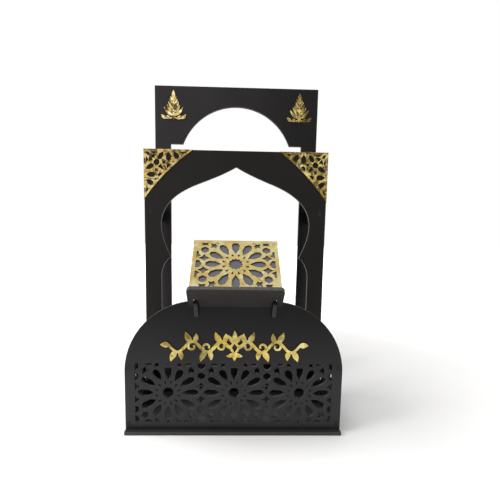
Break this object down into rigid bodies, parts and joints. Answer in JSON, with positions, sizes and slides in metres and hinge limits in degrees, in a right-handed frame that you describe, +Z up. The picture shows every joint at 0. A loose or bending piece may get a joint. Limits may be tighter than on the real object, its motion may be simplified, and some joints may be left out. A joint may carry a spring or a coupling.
{
  "type": "quran stand",
  "caption": "Flat-pack prayer corner stand: pierced low box, mihrab arch boards with gold lattice trim, and a sloping book rest that lifts off the front board.",
  "frame": {"origin": "on the surface it stands on, below the middle of its overall box, book rest included", "axes": "+Z up, +Y from the front board to the back board, +X to the right as seen from the front"},
  "size_m": [0.35, 0.2816, 0.6365],
  "materials": {
    "black_board": "satin black painted fibreboard",
    "rest_board": "satin black painted fibreboard",
    "gold_mirror": "gold mirror acrylic"
  },
  "bodies": {
    "stand": {"base_plate": "black_board", "front_panel": "black_board", "side_panel_left": "black_board", "side_panel_right": "black_board", "middle_panel": "black_board", "back_panel": "black_board", "upper_rail_left": "black_board", "upper_rail_right": "black_board", "corner_plate_left": "gold_mirror", "corner_plate_right": "gold_mirror", "back_ornament_left": "gold_mirror", "back_ornament_right": "gold_mirror", "front_ornament": "gold_mirror"},
    "book_rest": {"book_board": "rest_board", "book_lattice": "gold_mirror", "book_lip": "black_board", "book_bracket_left": "black_board", "book_bracket_right": "black_board"}
  },
  "joints": [
    {"name": "rest_lift", "type": "slide", "parent": "stand", "child": "book_rest", "axis": [0, 0, 1], "range_m": [0, 0.05]}
  ]
}
